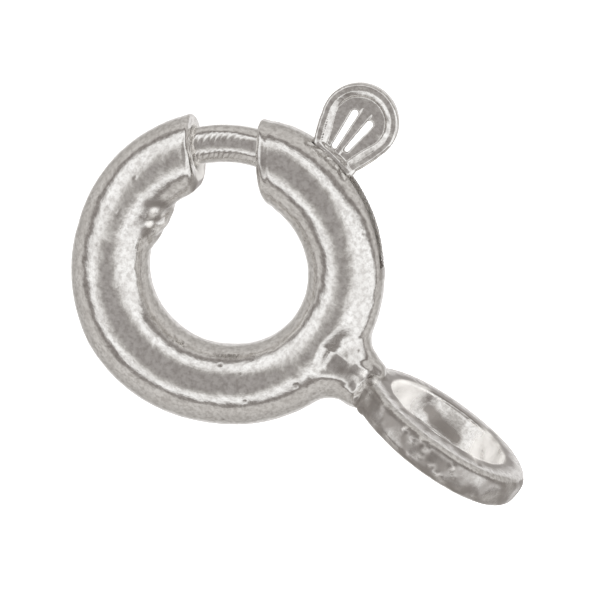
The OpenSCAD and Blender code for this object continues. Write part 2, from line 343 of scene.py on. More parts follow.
# Casting blisters on the rim of the end ring: bearing from its top in degrees, y, radius and height.
BLISTERS = (
    (-42, 0.2, 0.08, 0.02), (-33, -0.02, 0.08, 0.016), (-21, 0.19, 0.06, 0.035), (-14, 0.15, 0.06, 0.035),
    (-9, 0.22, 0.07, 0.03), (-3, 0.15, 0.06, 0.035), (-3, 0, 0.06, 0.025), (4, -0.03, 0.06, 0.03),
    (11, -0.1, 0.06, 0.03), (16, 0.15, 0.065, 0.04), (19, 0.04, 0.05, 0.03), (28, -0.02, 0.08, 0.016),
    (42, -0.08, 0.09, 0.014), (-26, -0.1, 0.08, 0.016), (-10, -0.12, 0.07, 0.02))
# Unevenness of the bent tube, in millimetres: direction, how far out its path runs, how much thicker it is.
UNEVEN = (
    (0, 0.018, -0.018), (20, 0.009, -0.03), (40, 0, -0.026), (60, -0.006, -0.008), (85, -0.01, 0.012),
    (120, -0.006, 0.006), (165, -0.014, -0.004), (180, -0.02, -0.012), (200, -0.017, -0.02),
    (225, 0.02, 0.01), (245, 0.038, 0.034), (264, 0.019, 0.036), (283, 0.003, 0.024),
    (306, -0.013, 0.017), (320, 0.002, 0.012), (340, 0.014, -0.002), (360, 0.018, -0.018))
# Solder of the spring stop: bearing in degrees from its middle, radius on the ring, height, bead radius
# and fillet in millimetres. The first three run together into one lump, and the others are runs on it.
STOP_BEADS = (
    (-11, 1.69, 0.06, 0.25, 0.2), (0.5, 1.66, 0.06, 0.26, 0.2), (11.5, 1.66, 0.02, 0.22, 0.2),
    (-9.8, 1.75, 0.42, 0.13, 0.14), (-0.8, 1.66, 0.37, 0.11, 0.14), (-4.5, 1.54, 0.21, 0.13, 0.12),
    (3.5, 1.58, 0.26, 0.1, 0.1))
# Darker spots on the solder and beside it, painted highlights where the amount is negative, and in the last
# five a dark painted reflection along the bottom of the end ring's hole: x, y, z, radius in millimetres, and
# amount.
SPOTS = (
    (2.35, 0.15, 0.65, 0.22, 0.1), (2.5, 0.4, 0.6, 0.25, 0.12), (2.72, 0.52, 0.5, 0.2, 0.12),
    (2.2, 0.35, 0.7, 0.2, 0.1), (2.85, 0.28, 0.55, 0.16, 0.15), (3, 0.3, 0.55, 0.08, 0.8),
    (3.08, 0, 0.6, 0.05, 0.8), (3.12, -0.2, 0.5, 0.07, 0.9), (3.14, -0.36, 0.4, 0.08, 0.9),
    (3.38, -0.05, 0.5, 0.14, 0.8), (3.34, -0.25, 0.4, 0.16, 0.8), (2.5, -0.1, 0.65, 0.1, 0.35),
    (2.66, -0.1, 0.6, 0.12, 0.5), (2.84, -0.12, 0.58, 0.14, 0.5), (2.97, -0.08, 0.58, 0.1, 0.5),
    (3.2, 0.07, 0.58, 0.07, -1), (3.27, -0.1, 0.5, 0.07, -0.8), (3.5, 0.1, 0.6, 0.06, -0.8),
    (-1.74, 0.38, 0.5, 0.14, 1), (-1.57, 0.42, 0.35, 0.14, 1), (-1.88, 0.28, 0.62, 0.1, 0.9),
    (-1.6, 0.08, 0.42, 0.1, 1), (-1.58, -0.25, 0.5, 0.13, 1), (-1.79, -0.08, 0.55, 0.08, 0.9),
    (-1.73, 0.19, 0.57, 0.07, -0.8), (-1.65, -0.08, 0.5, 0.06, -1), (-1.48, 0.03, 0.25, 0.08, -0.7),
    (-1.5, -0.1, 0.3, 0.08, -0.6), (-1.55, 0.2, 0.35, 0.05, -0.6), (4.66, -0.18, -1.08, 0.11, 0.9),
    (4.85, -0.26, -1.13, 0.12, 1), (5.05, -0.3, -1.15, 0.12, 1), (5.25, -0.32, -1.13, 0.11, 1),
    (5.42, -0.33, -1.08, 0.08, 0.9))


def blister_spots(s):
    """Middle, radius and height of each casting blister."""
    for bearing, by, radius, height in BLISTERS:
        out_z, out_x = heading(bearing, s.eye_out_r)
        yield np.array([s.eye_x + out_x, s.eye_y + by, out_z]), radius, height


def stop_field(x, y, z, s):
    """Solder beads run together on the inside of the ring."""
    solid = 1.0
    for bearing, reach, height, radius, fillet in STOP_BEADS:
        bx, by = heading(s.lump_az + bearing, reach)
        bead = np.sqrt((x - bx) ** 2 + (y - by) ** 2 + (z - height) ** 2) - radius
        solid = join(bead, solid, fillet)
    return solid


def neck_facet(x, y, z):
    """The flat that was filed on the upper side of the neck, which runs out towards the tube."""
    top = 0.588 + 0.23 * smooth((2.62 - x) / 0.52)
    across = y + 0.09
    return 0.04 * (x - 2.8) + 0.2 * across + 0.98 * (z - top) - 0.3 * np.maximum(np.abs(across) - 0.14, 0)


def ring_field(x, y, z, s):
    """The hollow ring with its mouth and slot, the spring stop, the neck and the end ring."""
    rho, az = np.hypot(x, y), around(x, y)
    near, far, behind = mouth_field(x, y, s)
    ahead = behind < 0
    # The tube, bent a little unevenly, flared at the far lip and drawn in at the near one.
    flare = 0.012 * np.exp(-(far / 0.12) ** 2) * (far < 0.4)
    groove = s.near_groove * np.exp(-((near - 0.2) / 0.04) ** 2)
    outer_side = np.clip((rho - s.ring_r) / s.tube_r, 0, 1)
    pinch = (0.07 * np.exp(-(near / 0.45) ** 2) * outer_side + groove) * (near < 1.2)
    bearings, outward, thicker = np.transpose(UNEVEN)
    path = s.ring_r + np.interp(az, bearings, outward)
    tube = np.hypot(rho - path, z) - s.tube_r - np.interp(az, bearings, thicker)
    tube = tube + np.where(ahead, pinch - flare, 0)
    body = join(tube, neck_field(x, y, z, s), s.neck_fillet)
    body = carve(body, neck_facet(x, y, z), 0.05)
    # The bore, closed in round the bolt at the far lip.
    close = np.where(ahead & (far < 0.5) & (near < 0), 1 - smooth((far - 0.14) / 0.25), 0)
    drift = close * (s.bolt_path_r - s.ring_r)
    hole = s.bore_r + close * (s.bolt_r + s.lip_gap - s.bore_r)
    edge = np.where(ahead & (near > 0) & (near < 0.2), 0.08, 0.035)
    body = carve(body, hole - np.hypot(rho - s.ring_r - drift, z), edge)
    # The slot, and the flat pressed between the mouth and the spring stop.
    slot_end = (apart(az, s.slot_az) - s.slot_half_az) * radians(s.out_r)
    slot = carve(carve(np.abs(z) - s.slot_half_w, slot_end, 0.02), s.slot_in_r - rho, 0.01)
    body = carve(body, -slot, s.slot_edge)
    run = np.clip((az - s.mouth_az) / 4, 0, 1) * np.clip((s.lump_az - 4 - az) / 9, 0, 1)
    flat = s.ring_r - s.tube_r + s.flat_depth * run ** 0.5 - rho
    body = np.where(run > 0, carve(body, flat, 0.05), body)
    # The mouth, with lips that are rounder inside the ring than outside it.
    gap = np.maximum(np.maximum(near, far), behind)
    inside, outside = smooth((s.ring_r - 0.25 - rho) / 0.35), smooth((rho - s.ring_r - 0.3) / 0.3)
    edge = np.where(near > far, s.near_edge, s.far_edge + 0.12 * inside) * (1 - 0.55 * outside)
    body = np.where(ahead, carve(body, -gap, edge), body)
    body = join(body, stop_field(x, y, z, s), 0.08)
    for bx, by, bz, radius in SOLDER_BEADS:
        bead = np.sqrt((x - bx) ** 2 + (y - s.eye_y - by) ** 2 + (z - bz) ** 2) - radius
        body = join(body, bead, 0.6 * radius)
    return join(body, eye_field(x, y, z, s), 0.06)


def solder_share(points, s):
    """1 on the solder of the spring stop and of the end ring's joint, 0 elsewhere."""
    places = (((s.eye_x - s.eye_out_r + 0.12, s.eye_y + 0.05, 0.35), 0.25, 0.3, 1),
            ((*heading(s.lump_az, 1.62), 0.2), 0.3, 0.15, 1), ((2.55, 0.28, 0.62), 0.2, 0.25, 0.25))
    return np.maximum.reduce([
        most * (1 - smooth((np.linalg.norm(points - np.array(middle), axis=1) - radius) / fade))
        for middle, radius, fade, most in places])


def weathering(points, normals, az, s, finish):
    """Tarnish and painted shade beside the tarnish of the corners, and white painted light: painted
    highlights on solder spots and blisters, painted reflections at the ends of the end ring's hole, and
    painted light inside the tube's bore.
    """
    x, y, z = points.T
    patchy = waves(points, np.random.default_rng(int(finish.seed) + 3), 0.35)
    rho = np.hypot(x, y)
    wall = np.hypot(x - s.eye_x, z) - s.eye_r
    near, far, _ = mouth_field(x, y, s)
    in_eye = smooth((x - s.eye_x + s.eye_out_r - 0.1) / 0.15)
    # Darker on the upper half of the end ring's cast rim, and painted shade on its flank beside the hole.
    cast = smooth((wall - 0.4) / 0.15) * in_eye * (np.abs(normals[:, 1]) < 0.8) * (z > 0)
    stain = cast * (0.58 + 0.1 * smooth((s.eye_x - 0.4 - x) / 0.5) + 0.16 * patchy)
    # Painted shade: a dark band on the flank beside the hole, on the side whose surface faces +y.
    stain += 0.9 * in_eye * smooth((normals[:, 1] - 0.6) / 0.2) * (1 - smooth((wall - 0.26) / 0.1))
    # Darker round the spring stop; painted shade along the slot under the trigger and on the inner side of
    # both lips of the mouth.
    by_stop = (1 - smooth(apart(az, s.lump_az) / 17)) * smooth((s.ring_r - 0.5 - rho) / 0.2)
    stain += by_stop * (0.25 + 0.2 * patchy)
    by_slot = (apart(az, s.slot_az) < s.slot_half_az + 4) * smooth((rho - s.ring_r) / 0.3)
    stain += 0.35 * by_slot * (1 - smooth((np.abs(z) - s.slot_half_w) / 0.15))
    far_lip = (1 - smooth((np.abs(far) - 0.08) / 0.1)) * (az > 90) * (az < 180)
    stain += 0.6 * far_lip * smooth((s.ring_r - 0.2 - rho) / 0.2)
    low = (1 - smooth((rho - s.ring_r - 0.1) / 0.25)) * smooth((rho - s.ring_r + 0.3) / 0.2)
    stain += 0.3 * low * (np.abs(near - 0.08) < 0.16) * (az < 180)
    bloom = np.zeros(len(points))
    # Each spot adds darker colour, or with a negative amount a white painted highlight.
    for *middle, radius, amount in SPOTS:
        there = bell(points, middle, radius)
        stain += amount * there * (1 + 0.3 * patchy)
        bloom = np.maximum(bloom, -amount * there)
    # Painted highlights: white on each casting blister of the end ring's rim.
    for middle, radius, height in blister_spots(s):
        bloom = np.maximum(bloom, 31 * (height - 0.01) * bell(points, middle, 0.64 * radius))
    # Painted reflections: white at both ends of the end ring's hole; and painted light: white over the inside
    # of the tube's bore.
    ends = smooth((np.abs(x - s.eye_x) / s.eye_r - 0.42) / 0.2)
    hole = smooth((0.12 - wall) / 0.06) * in_eye * (x > s.eye_x - s.eye_r - 0.1)
    bore = 1 - smooth((np.hypot(rho - s.ring_r, z) - s.bore_r - 0.04) / 0.05)
    in_tube = bore * (x < s.ring_r + s.bore_r + 0.1)
    bloom = np.maximum.reduce([bloom, hole * ends * (0.8 + 0.2 * patchy), in_tube])
    return stain, np.clip(bloom, 0, 1)


def bolt_field(x, y, z, s):
    """The curved bolt wire, the stem through the slot and the trigger's head."""
    rho, az = np.hypot(x, y), around(x, y)
    wire = np.hypot(rho - s.path_r, z) - s.bolt_r
    tip = (az - s.tip_az) * radians(s.path_r)
    tail = (s.tail_az - az) * radians(s.path_r)
    bar = carve(carve(wire, tip, s.tip_bevel), tail, 0.05)
    side = (np.abs(az - s.trigger_az) - s.stem_half) * radians(s.out_r)
    stem = carve(carve(side, np.abs(z) - s.stem_t / 2, 0.09),
            np.maximum(s.path_r - rho, rho - s.out_r - 0.05), 0.06)
    solid = join(bar, stem, 0.03)
    return join(solid, head_field(x, y, z, s), 0.09)


def file_marks(x, y, z, s):
    """Slanting file marks across the bolt: 1 in the grooves and -1 on the ridges between them.
    They are unevenly spaced, and rubbed away beside the lip that the bolt slides through."""
    rho, az = np.hypot(x, y), around(x, y)
    turn = np.arctan2(rho - s.path_r, z)
    depth = smooth((np.abs(turn) - 0.1) / 0.25) * (1 - 0.85 * smooth((np.abs(turn) - 0.55) / 0.4))
    run = np.radians(az) * s.path_r
    rubbed = 0.35 + 0.65 * smooth((az - s.mouth_az + 12) / 16)
    return rubbed * depth * np.cos((run + 0.5 * rho) * 2 * pi / s.file_pitch + 0.8 * np.sin(run * 13))


def head_field(x, y, z, s):
    """The trigger's head: round wire rim, thin web with two windows, and the rib between."""
    cx, cy = heading(s.trigger_az, s.out_r)
    u, v = turned(x - cx, y - cy, s.trigger_az + s.trigger_lean)
    v = v - s.head_shift
    w = np.abs(v)
    # The rim's middle line: a loop round the head, and a slightly bowed leg down each side.
    rim_r = s.rim_d / 2
    loop_r = s.head_d / 2 - rim_r
    foot = s.stem_w / 2 - rim_r
    touch = pi - math.atan2(foot, s.rise) - math.acos(loop_r / math.hypot(s.rise, foot))
    tu, tv = s.rise + loop_r * cos(touch), loop_r * sin(touch)
    bearing = np.clip(np.arctan2(w, u - s.rise), 0, touch)
    loop = np.hypot(u - s.rise - loop_r * np.cos(bearing), w - loop_r * np.sin(bearing))
    t = np.clip((u * tu + (w - foot) * (tv - foot)) / (tu ** 2 + (tv - foot) ** 2), 0, 1)
    leg = np.hypot(u - t * tu, w - foot - t * (tv - foot)) - 0.015 * np.sin(pi * t)
    path = np.minimum(loop, leg)
    disc = np.hypot(u - s.rise, v) - loop_r
    inside_leg = ((w - foot) * tu - u * (tv - foot)) / math.hypot(tu, tv - foot)
    skirt = np.maximum(np.maximum(inside_leg, u - tu), -u)
    inward = np.where(np.minimum(disc, skirt) < 0, path, -path)
    # Half the thickness from the rim inwards to the web: it drops steeply at the foot, gently at the top.
    web = s.web_t / 2
    at_top = np.clip((u - s.rise) / loop_r, 0, 1) ** 2
    marks = [-1, -0.02, -0.008, 0.062, 0.075, 0.1, 0.115, 1]
    crest = [rim_r - 0.01, rim_r - 0.01]
    steep = crest + [rim_r - 0.014, web + 0.035, web + 0.028, web + 0.002, web, web]
    gentle = crest + [rim_r - 0.012, rim_r - 0.024, rim_r - 0.034, web + 0.004, web, web]
    dish = np.interp(inward, marks, steep)
    dish = dish + at_top * (np.interp(inward, marks, gentle) - dish)
    sheet = carve(-inward - rim_r, (np.abs(z) - dish) * 0.93, 0.065)
    top = s.window_foot + s.window_l
    for height, side in ((s.window_foot, 1), (s.window_foot + s.window_stagger, -1)):
        a = np.array([height, side * (s.rib_foot_w + s.window_w) / 2])
        run = np.array([top, side * (s.rib_head_w + s.window_w) / 2]) - a
        k = np.clip(((u - a[0]) * run[0] + (v - a[1]) * run[1]) / (run @ run), 0, 1)
        middle_line = np.hypot(u - a[0] - k * run[0], v - a[1] - k * run[1])
        sheet = carve(sheet, s.window_w * (0.36 + 0.13 * k) - middle_line, 0.03)
    rib_l = top + s.rib_head_w
    rib_r = s.rib_foot_w / 2 + np.clip(u / rib_l, 0, 1) * (s.rib_head_w - s.rib_foot_w) / 2
    rib = carve(w - rib_r, np.abs(z) - web - 0.012, 0.02)
    return join(sheet, carve(rib, np.maximum(-u, u - rib_l), 0.05), 0.03)


# ---------------------------------------------------------------- from field to mesh


def waves(points, rng, wavelength, count=14):
    """A smooth seeded noise between about -1 and 1, as a sum of plane waves."""
    total = np.zeros(len(points))
    for _ in range(count):
        way = rng.normal(size=3)
        way *= 2 * pi / wavelength / np.linalg.norm(way) * rng.uniform(0.7, 1.4)
        total += np.sin(points @ way + rng.uniform(0, 2 * pi))
    return total / math.sqrt(count)


def skin(field, low, high, step):
    """Surface-nets mesh of a field's zero surface: one vertex in each cell that it crosses."""
    low, high = np.array(low, float), np.array(high, float)
    count = np.ceil((high - low) / step).astype(int) + 1
    lines = [(low[i] + step * np.arange(count[i])) for i in range(3)]
    grid = field(lines[0][:, None, None], lines[1][None, :, None], lines[2][None, None, :]).astype(np.float32)
    grid = np.broadcast_to(grid, count)
    inside = grid < 0
    stride = np.array([count[1] * count[2], count[2], 1])
    cells, spots, quads = [], [], []
    for axis in range(3):
        one, two = (axis + 1) % 3, (axis + 2) % 3
        head = tuple(slice(0, -1) if i == axis else slice(None) for i in range(3))
        tail = tuple(slice(1, None) if i == axis else slice(None) for i in range(3))
        where = np.argwhere(inside[head] != inside[tail])
        where = where[(where[:, one] > 0) & (where[:, two] > 0)]
        unit = np.eye(3, dtype=int)
        a = grid[tuple(where.T)]
        b = grid[tuple((where + unit[axis]).T)]
        spot = where.astype(float)
        spot[:, axis] += a / (a - b)
        corners = [where - unit[one] - unit[two], where - unit[two], where, where - unit[one]]
        ids = np.stack([c @ stride for c in corners], 1)
        cells.append(ids.ravel())
        spots.append(np.repeat(spot, 4, axis=0))
        quads.append(np.where((a < 0)[:, None], ids, ids[:, ::-1]))
    cells, spots, quads = np.concatenate(cells), np.concatenate(spots), np.concatenate(quads)
    names, place = np.unique(cells, return_inverse=True)
    tally = np.bincount(place)
    points = np.stack([np.bincount(place, spots[:, i]) / tally for i in range(3)], 1)
    return low + points * step, np.searchsorted(names, quads)


def slope(field, points, reach=0.004):
    """Value and gradient of a field at each point."""
    ahead = np.eye(3) * reach
    parts = [(field(*(points + d).T) - field(*(points - d).T)) / (2 * reach) for d in ahead]
    return field(*points.T), np.stack(parts, 1)


def settle(field, points, step, rounds=3):
    """Moves points on to the field's zero surface, and gives the surface's directions there."""
    for _ in range(rounds):
        value, grad = slope(field, points)
        size = np.maximum((grad ** 2).sum(1), 0.05)
        points = points - np.clip(value / size, -0.6 * step, 0.6 * step)[:, None] * grad
    _, grad = slope(field, points)
    return points, grad / np.maximum(np.linalg.norm(grad, axis=1), 1e-6)[:, None]


def lay_flat_to_floor(points):
    """From the ring's own flat frame in millimetres to the resting clasp in metres."""
    c, s = cos(TIP_ANGLE), sin(TIP_ANGLE)
    turn = np.array([[c, 0, -s], [0, 1, 0], [s, 0, c]])
    return points @ turn.T * MM + np.array(RING_CENTRE), turn


def mesh_piece(name, points, faces):
    mesh = bpy.data.meshes.new(name)
    mesh.from_pydata(points.tolist(), [], faces.tolist())
    mesh.validate()
    piece = bpy.data.objects.new(name, mesh)
    bpy.context.scene.collection.objects.link(piece)
    return piece


def thin_out(piece, target):
    """Collapses edges evenly until a piece has a target number of triangles."""
    triangles = sum(len(face.vertices) - 2 for face in piece.data.polygons)
    if triangles <= target:
        return
    thin = piece.modifiers.new("thin", "DECIMATE")
    thin.ratio = target / triangles
    plain = bpy.data.meshes.new_from_object(piece.evaluated_get(bpy.context.evaluated_depsgraph_get()))
    piece.modifiers.clear()
    old, piece.data = piece.data, plain
    bpy.data.meshes.remove(old)


def close_seams(piece):
    """Draws together the few edges where two sheets of the surface met in one cell."""
    sheet = bmesh.new()
    sheet.from_mesh(piece.data)
    bmesh.ops.collapse(sheet, edges=[edge for edge in sheet.edges if len(edge.link_faces) > 2])
    sheet.to_mesh(piece.data)
    sheet.free()


def coords(mesh):
    flat = np.empty(len(mesh.vertices) * 3, np.float32)
    mesh.vertices.foreach_get("co", flat)
    return flat.reshape(-1, 3).astype(float)


def finish_mesh(piece, points, normals, facts):
    """Puts settled points, their true normals and named per-point values into a piece."""
    mesh = piece.data
    floor_points, turn = lay_flat_to_floor(points)
    mesh.vertices.foreach_set("co", floor_points.astype(np.float32).ravel())
    for key, values in facts.items():
        kind = "FLOAT" if values.ndim == 1 else "FLOAT_VECTOR"
        attribute = mesh.attributes.new(key, kind, "POINT")
        field = "value" if kind == "FLOAT" else "vector"
        attribute.data.foreach_set(field, values.astype(np.float32).ravel())
    mesh.update()
    mesh.polygons.foreach_set("use_smooth", np.ones(len(mesh.polygons), bool))
    mesh.normals_split_custom_set_from_vertices((normals @ turn.T).tolist())
    mesh.update()


def recess(field, points, normals, reach=0.1):
    """0 on open surface to 1 deep in a corner: how much of the room just outside is taken."""
    return np.clip((reach - field(*(points + normals * reach).T)) / reach, 0, 1)


# ---------------------------------------------------------------- materials


def linear(hex_value):
    """sRGB hex to a linear RGBA tuple."""
    parts = [int(hex_value[i:i + 2], 16) / 255 for i in (1, 3, 5)]
    return (*(c / 12.92 if c <= 0.04045 else ((c + 0.055) / 1.055) ** 2.4 for c in parts), 1.0)


def node_maker(tree):
    """Empties a tree and gives the function that adds a node with its settings, values and links.

    A kind without "Node" in it is a shader node's. A link comes from a socket, or from the first
    open output of a node. Stops are (place, colour or grey) pairs of a colour ramp."""
    tree.nodes.clear()

    def add(kind, links=None, values=None, stops=(), **settings):
        node = tree.nodes.new(kind if "Node" in kind else "ShaderNode" + kind)
        for key, value in settings.items():
            setattr(node, key, value)
        for key, value in (values or {}).items():
            node.inputs[key].default_value = value
        for key, source in (links or {}).items():
            if isinstance(source, bpy.types.Node):
                source = next(socket for socket in source.outputs if socket.enabled)
            tree.links.new(source, node.inputs[key])
        marks = node.color_ramp.elements if stops else ()
        while len(marks) < len(stops):
            marks.new(0.5)
        for mark, (place, _) in zip(marks, stops):
            mark.position = place
        for mark, (_, value) in zip(marks, stops):
            mark.color = value if isinstance(value, tuple) else (value, value, value, 1)
        return node

    return add


def new_material(name):
    material = bpy.data.materials.new(name)
    material.use_nodes = True
    return material, node_maker(material.node_tree)


def worn_silver(name, finish, line_strength):
    """Sterling silver, buffed by hand and worn: bright and slightly warm, with fine lines along the metal, a
    speckle of wear, grey tarnish left in pits and corners that is partly painted shade, and a matte white
    that paints highlights, reflections and light."""
    material, add = new_material(name)
    place = add("TexCoord").outputs["Object"]
    along = add("Attribute", attribute_name="along").outputs["Vector"]
    deep = add("Attribute", attribute_name="recess").outputs["Fac"]
    # Where white painted highlights, painted reflections and painted light go.
    pickled = add("Attribute", attribute_name="bloom").outputs["Fac"]
    cloud = add("TexNoise", {"Vector": place}, {"Scale": 2.2 / MM, "Detail": 5.0, "Roughness": 0.62})
    grain = add("TexNoise", {"Vector": place}, {"Scale": 12 / MM, "Detail": 2.5, "Roughness": 0.6})
    lined = add("VectorMath", {0: along}, {1: (1.5, 26, 26)}, operation="MULTIPLY")
    lines = add("TexNoise", {"Vector": lined}, {"Scale": 1.0, "Detail": 4.0, "Roughness": 0.65})
    # Tarnish in pits and corners, together with the painted shade that the recess attribute carries.
    stain = add("Math", {0: deep, 1: cloud}, operation="MULTIPLY")
    stained = add("ValToRGB", {"Fac": stain}, stops=[(0.04, 0.0), (0.34, 1.0)])
    warm = add("ValToRGB", {"Fac": cloud}, stops=[(0.38, 0.0), (0.72, 1.0)])
    speck = add("ValToRGB", {"Fac": grain}, stops=[(0.34, 0.9), (0.6, 0.0)])
    below, silver = {}, {"A": linear(finish.silver)}
    # Tints in order: random warm tone, wear, tarnish with painted shade, and the white of painted light.
    for mask, tint in ((warm, finish.silver_warm), (speck, finish.wear), (stained, finish.tarnish),
            (pickled, finish.bloom)):
        skin_tint = add("Mix", {"Factor": mask, **below}, {"B": linear(tint), **silver}, data_type="RGBA")
        below, silver = {"A": skin_tint}, {}
    dull = add("ValToRGB", {"Fac": cloud}, stops=[(0.3, 0.07), (0.75, 0.15)])
    rough = add("Math", {0: stained, 2: dull}, {1: 0.25}, operation="MULTIPLY_ADD")
    # Where light is painted, the surface is rougher and less metallic.
    matte = add("Math", {0: pickled, 2: rough}, {1: 0.3}, operation="MULTIPLY_ADD")
    metallic = add("Math", {0: pickled}, {1: -0.8, 2: 1.0}, operation="MULTIPLY_ADD")
    ground = add("Bump", {"Height": lines}, {"Strength": line_strength, "Distance": 0.002 * MM})
    grit = add("Bump", {"Height": grain, "Normal": ground}, {"Strength": 0.6, "Distance": 0.004 * MM})
    shader = add("BsdfPrincipled", {"Base Color": skin_tint, "Roughness": matte, "Metallic": metallic,
            "Normal": grit})
    add("OutputMaterial", {"Surface": shader})
    return material


def drawn_steel(finish):
    """Spring steel wire drawn through a die: grey, half bright, with a fine grit."""
    material, add = new_material("drawn_spring_steel")
    place = add("TexCoord").outputs["Object"]
    cloud = add("TexNoise", {"Vector": place}, {"Scale": 5 / MM, "Detail": 4.0, "Roughness": 0.6})
    tint = add("ValToRGB", {"Fac": cloud},
            stops=[(0.3, linear(finish.tarnish)), (0.62, linear(finish.spring_steel))])
    dull = add("ValToRGB", {"Fac": cloud}, stops=[(0.3, 0.4), (0.7, 0.26)])
    grit = add("Bump", {"Height": cloud}, {"Strength": 0.3, "Distance": 0.002 * MM})
    shader = add("BsdfPrincipled", {"Base Color": tint, "Roughness": dull, "Normal": grit},
            {"Metallic": 1.0})
    add("OutputMaterial", {"Surface": shader})
    return material


def white_acrylic(stage):
    """Matte white acrylic, lit a little from below: even and pale, with no shine."""
    material, add = new_material("matte_white_acrylic")
    place = add("TexCoord").outputs["Object"]
    cloud = add("TexNoise", {"Vector": place}, {"Scale": 60.0, "Detail": 2.0})
    tint = add("ValToRGB", {"Fac": cloud}, stops=[(0.0, linear(stage.floor)), (1.0, linear("#FFFFFF"))])
    shader = add("BsdfPrincipled", {"Base Color": tint},
            {"Roughness": 0.9, "Specular IOR Level": 0.1, "Emission Color": linear("#FFFFFF"),
            "Emission Strength": stage.floor_glow})
    add("OutputMaterial", {"Surface": shader})
    return material


# ---------------------------------------------------------------- operators


def drop_old(name):
    old = bpy.data.objects.get(name)
    if old:
        bpy.data.objects.remove(old, do_unlink=True)


class CLASP_OT_ring(Operator):
    """Make the hollow ring with its mouth, slot, spring stop, neck and end ring"""
    bl_idname = "clasp.ring"
    bl_label = "Ring and end ring"

    def execute(self, context):
        name = "silver_ring"
        drop_old(name)
        s, _ = all_sizes()
        finish = Sizes(context.scene.clasp_finish)
        rng = np.random.default_rng(int(finish.seed))
        step = 0.037

        def clean(x, y, z):
            return ring_field(x, y, z, s)

        edge = s.out_r + 0.12
        points, faces = skin(clean, (-edge, -edge, -s.eye_out_r - 0.1),
                (s.eye_x + s.eye_out_r + 0.1, edge, s.eye_out_r + 0.1), step)
        piece = mesh_piece(name, points, faces)
        thin_out(piece, RING_TRIANGLES)
        points = coords(piece.data)
        pits = points[rng.choice(len(points), int(finish.pit_count), replace=False)]
        spots = []
        for az, lean, _ in PLACED_PITS:
            height, outward = heading(lean, s.tube_r)
            spots.append((*heading(az, s.ring_r + outward), height))
        pits = np.concatenate([spots, pits])
        small = rng.uniform(0.02, 0.04, len(pits) - len(spots))
        pit_r = np.concatenate([[pit[2] for pit in PLACED_PITS], small])
        blisters = list(blister_spots(s))
        close_seams(piece)

        def worn(x, y, z):
            value = ring_field(x, y, z, s)
            p = np.stack([x, y, z], 1)
            local = np.random.default_rng(int(finish.seed) + 1)
            value = value + finish.wave_height * waves(p, local, 1.6)
            value = value + finish.ripple_height * waves(p, local, 0.3)
            value = value + finish.solder_height * solder_share(p, s) * waves(p, local, 0.24)
            for pit, radius in zip(pits, pit_r):
                value = value + 0.25 * radius * bell(p, pit, radius)
            for spot, radius, height in blisters:
                value = value - height * bell(p, spot, radius)
            return value

        points, normals = settle(worn, coords(piece.data), step)
        az = around(points[:, 0], points[:, 1])
        in_eye = points[:, 0] > s.eye_x - s.eye_out_r + 0.05
        run = np.radians((az - s.mouth_az) % 360) * s.ring_r
        round_tube = np.arctan2(points[:, 2], np.hypot(points[:, 0], points[:, 1]) - s.ring_r) * s.tube_r
        eye_run = np.arctan2(points[:, 2], points[:, 0] - s.eye_x) * s.eye_r
        along = np.stack([np.where(in_eye, eye_run, run), np.where(in_eye, points[:, 1], round_tube),
                np.zeros(len(points))], 1)
        hollow = recess(clean, points, normals)
        for pit, radius in zip(pits, pit_r):
            hollow = np.maximum(hollow, 0.75 * bell(points, pit, radius))
        # The first value holds tarnish and painted shade, the second painted highlights, painted reflections
        # and painted light.
        stain, bloom = weathering(points, normals, az, s, finish)
        hollow = np.clip(hollow + stain, 0, 1)
        finish_mesh(piece, points, normals, {"along": along, "recess": hollow, "bloom": bloom})
        piece.data.materials.append(worn_silver("hand_buffed_sterling", context.scene.clasp_finish, 0.5))
        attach(piece, "ring")
        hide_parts("clasp_ring")
        return {"FINISHED"}


class CLASP_OT_bolt(Operator):
    """Make the curved bolt and its trigger with rim, web, rib and windows"""
    bl_idname = "clasp.bolt"
    bl_label = "Bolt and trigger"

    def execute(self, context):
        name = "silver_bolt"
        drop_old(name)
        _, s = all_sizes()
        finish = Sizes(context.scene.clasp_finish)
        step = 0.0165

        def clean(x, y, z):
            return bolt_field(x, y, z, s)

        half = s.bolt_r + 0.05
        points, faces = skin(clean, (-2.3, 1.0, -half), (1.75, 4.75, half), step)
        piece = mesh_piece(name, points, faces)
        close_seams(piece)

        def worn(x, y, z):
            p = np.stack([x, y, z], 1)
            local = np.random.default_rng(int(finish.seed) + 2)
            value = bolt_field(x, y, z, s) + 0.6 * finish.wave_height * waves(p, local, 0.9)
            value = value + finish.ripple_height * waves(p, local, 0.22)
            rho, az = np.hypot(x, y), around(x, y)
            shown = (az > s.trigger_az + s.stem_half) * (rho < s.path_r + s.bolt_r + 0.05)
            return value + s.file_depth * file_marks(x, y, z, s) * shown

        points, normals = settle(worn, coords(piece.data), step)
        az = around(points[:, 0], points[:, 1])
        rho = np.hypot(points[:, 0], points[:, 1])
        along = np.stack([np.radians(az) * s.path_r, np.arctan2(points[:, 2], rho - s.path_r) * s.bolt_r,
                np.zeros(len(points))], 1)
        # Darker colour along the file marks' grooves.
        grime = np.clip(file_marks(*points.T, s), 0, 1) ** 2 * 0.55 * (rho < s.path_r + s.bolt_r + 0.02)
        hollow = np.clip(recess(clean, points, normals, 0.07) + grime, 0, 1)
        # The bolt gets no painted light: the attribute is zero.
        finish_mesh(piece, points, normals, {"along": along, "recess": hollow, "bloom": 0 * az})
        piece.data.materials.append(worn_silver("filed_sterling_wire", context.scene.clasp_finish, 0.4))
        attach(piece, "bolt")
        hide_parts("bolt")
        return {"FINISHED"}


